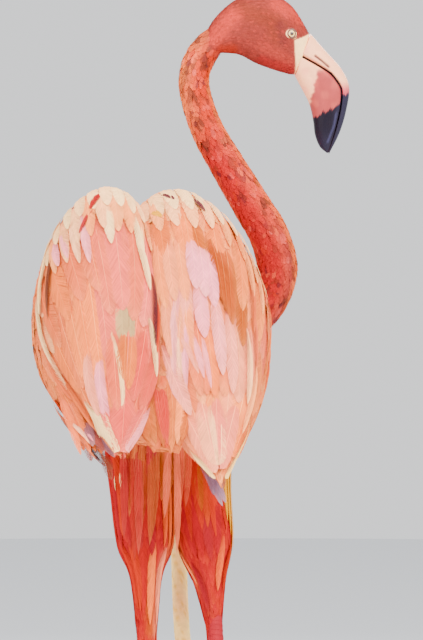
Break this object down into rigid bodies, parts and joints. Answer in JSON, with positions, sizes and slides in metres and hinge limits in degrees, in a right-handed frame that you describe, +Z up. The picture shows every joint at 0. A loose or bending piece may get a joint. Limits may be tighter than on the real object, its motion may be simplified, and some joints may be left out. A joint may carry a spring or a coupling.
{
  "type": "flamingo",
  "caption": "Adult American flamingo standing on one leg, seen here as a full-size still figure: long S-shaped neck turned to its right, bent bill hanging, one leg folded under the body.",
  "frame": {"origin": "on the floor, on the flat sole of the standing foot's middle toe, under the body", "axes": "+Z up; the body faces -Y and the tail points +Y; the bird's left side is +X; the neck sweeps to -X and the head looks along -X"},
  "size_m": [0.3373, 0.4802, 1.0844],
  "materials": {
    "body_plumage": "overlapping soft feathers, salmon to cream and lilac pink",
    "neck_plumage": "short dense feathers, coral to deep red",
    "thigh_plumage": "long hair-like feathers, red and orange",
    "flight_feathers": "smooth stiff feathers, dark mauve grey",
    "bill_horn": "satin horn, cream and coral with a blackish tip",
    "eye": "wet, glossy, pale yellow iris",
    "leg_skin": "matt scaly skin, cream to salmon",
    "claw_horn": "dull dark horn"
  },
  "bodies": {
    "root": {"trunk": "body_plumage", "tail": "body_plumage", "wing_left": "body_plumage", "wing_right": "body_plumage", "neck_lower": "neck_plumage", "neck_middle": "neck_plumage", "neck_upper": "neck_plumage", "head": "neck_plumage", "thigh_left": "thigh_plumage", "thigh_right": "thigh_plumage", "primaries_left": "flight_feathers", "primaries_right": "flight_feathers", "bill_upper": "bill_horn", "bill_lower": "bill_horn", "eye_left": "eye", "eye_right": "eye", "shank_left": "leg_skin", "ankle_left": "leg_skin", "tarsus_left": "leg_skin", "toe_middle_left": "leg_skin", "toe_inner_left": "leg_skin", "toe_outer_left": "leg_skin", "toe_hind_left": "leg_skin", "web_inner_left": "leg_skin", "web_outer_left": "leg_skin", "shank_right": "leg_skin", "ankle_right": "leg_skin", "tarsus_right": "leg_skin", "toe_middle_right": "leg_skin", "toe_inner_right": "leg_skin", "toe_outer_right": "leg_skin", "toe_hind_right": "leg_skin", "web_inner_right": "leg_skin", "web_outer_right": "leg_skin", "claw_middle_left": "claw_horn", "claw_inner_left": "claw_horn", "claw_outer_left": "claw_horn", "claw_middle_right": "claw_horn", "claw_inner_right": "claw_horn", "claw_outer_right": "claw_horn"}
  },
  "joints": []
}
